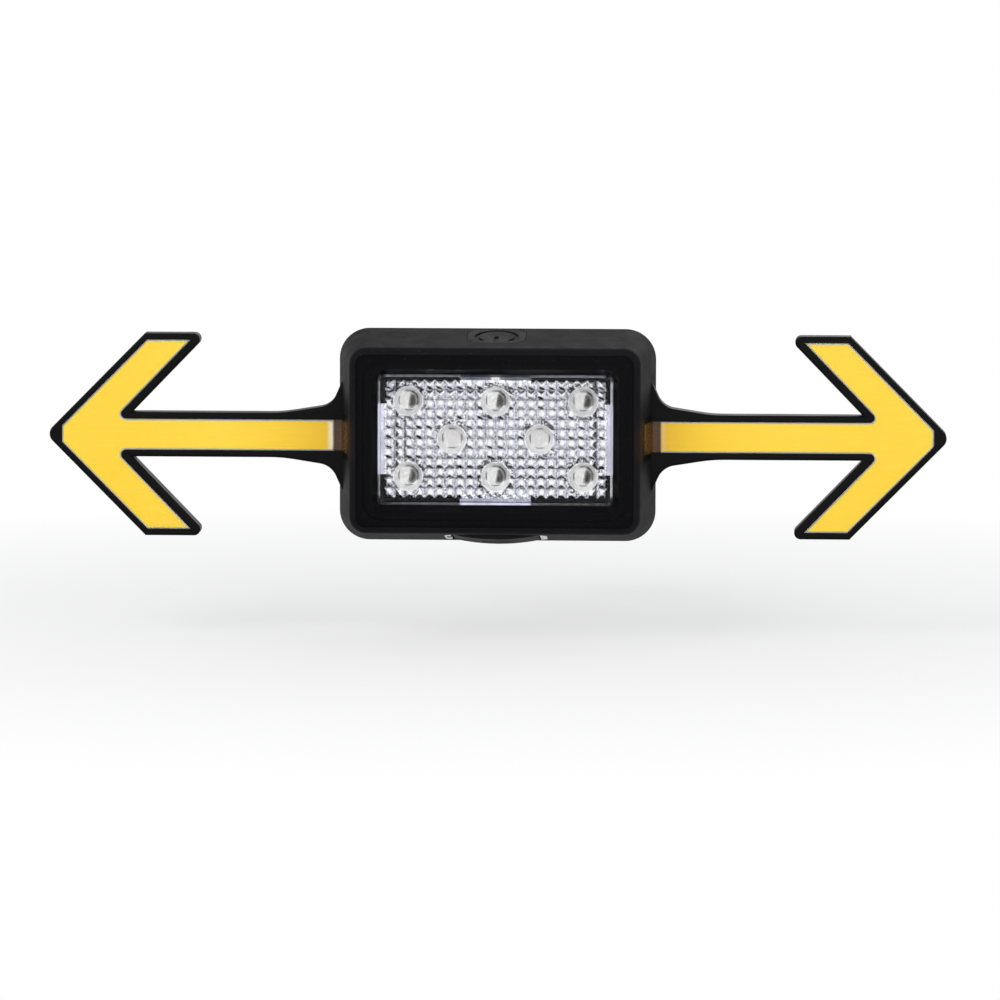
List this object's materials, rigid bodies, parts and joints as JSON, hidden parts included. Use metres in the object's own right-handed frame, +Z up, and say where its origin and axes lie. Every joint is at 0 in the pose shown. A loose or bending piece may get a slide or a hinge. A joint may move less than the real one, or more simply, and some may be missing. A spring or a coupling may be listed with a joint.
{
  "type": "bicycle signal lamp",
  "caption": "Rear bicycle lamp with a framed lens over a faceted reflector, amber arrows on both sides and a clamp for a seat post.",
  "frame": {"origin": "on the seat post's axis, in the middle of the clamp's height", "axes": "+X along the lamp's width, from arrow tip to arrow tip; +Z up along the seat post; -Y the way the lamp shines"},
  "size_m": [0.1704, 0.0727, 0.0411],
  "materials": {
    "housing_black": "fine matte texture",
    "bezel_black": "gloss",
    "lens_clear": "clear moulded plastic, polished",
    "seal_rubber": "matt",
    "reflector_bright": "vacuum metallised",
    "led_clear": "clear",
    "led_white": "satin",
    "board_black": "black solder resist",
    "fastener_steel": "zinc plated",
    "chip_black": "moulded epoxy",
    "board_green": "green solder resist",
    "guide_amber": "smooth tinted light guide",
    "frame_black": "satin",
    "button_rubber": "matt",
    "socket_metal": "plated",
    "port_white": "satin",
    "battery_silver": "laminate pouch",
    "pad_foam": "closed-cell foam",
    "lead_red": "insulated wire",
    "bracket_nylon": "glass-filled nylon",
    "liner_rubber": "matt"
  },
  "bodies": {
    "bracket": {"bracket": "bracket_nylon", "bracket_liner": "liner_rubber", "clamp_nut": "fastener_steel"},
    "clamp_washer": {"clamp_washer": "fastener_steel"},
    "clamp_screw": {"clamp_screw": "fastener_steel"},
    "lamp": {"front_housing": "housing_black", "inner_bezel": "bezel_black", "lens": "lens_clear", "lens_seal": "seal_rubber", "reflector": "reflector_bright", "led_domes": "led_clear", "led_bases": "led_white", "led_board": "board_black", "board_screws": "fastener_steel", "board_components": "chip_black", "receiver_module": "board_green", "side_leds": "led_white", "left_arrow_guide": "guide_amber", "right_arrow_guide": "guide_amber", "left_arrow_frame": "frame_black", "right_arrow_frame": "frame_black", "tact_switch": "socket_metal", "port_surround": "port_white", "port_cover_strap": "button_rubber", "charge_socket": "socket_metal", "charge_socket_tongue": "chip_black", "battery": "battery_silver", "battery_pad": "pad_foam", "battery_leads": "lead_red", "battery_plug": "port_white", "rear_cover": "housing_black", "cover_seal": "seal_rubber", "cover_screws": "fastener_steel"},
    "power_button": {"power_button": "button_rubber", "switch_plunger": "chip_black"},
    "port_cover": {"port_cover": "button_rubber"}
  },
  "joints": [
    {"name": "lamp_release", "type": "slide", "parent": "bracket", "child": "lamp", "axis": [0, 0, 1], "range_m": [0, 0.022]},
    {"name": "power_button_press", "type": "slide", "parent": "lamp", "child": "power_button", "axis": [0, 0, -1], "range_m": [0, 0.0004], "stiffness_N_per_m": 1000},
    {"name": "port_cover_hinge", "type": "hinge", "parent": "lamp", "child": "port_cover", "pos_m": [-0.00768, -0.03491, -0.01857], "axis": [0, 0.9818, -0.1898], "range_deg": [0, 95]},
    {"name": "clamp_washer_slide", "type": "slide", "parent": "bracket", "child": "clamp_washer", "axis": [1, 0, 0], "range_m": [0, 0.0021]},
    {"name": "clamp_screw_turn", "type": "hinge", "parent": "clamp_washer", "child": "clamp_screw", "pos_m": [0, 0.02455, 0], "axis": [1, 0, 0], "range_deg": [0, 1081]}
  ],
  "couplings": [
    {"joint": "clamp_screw_turn", "follows": "clamp_washer_slide", "rad_per_m": 8976}
  ]
}
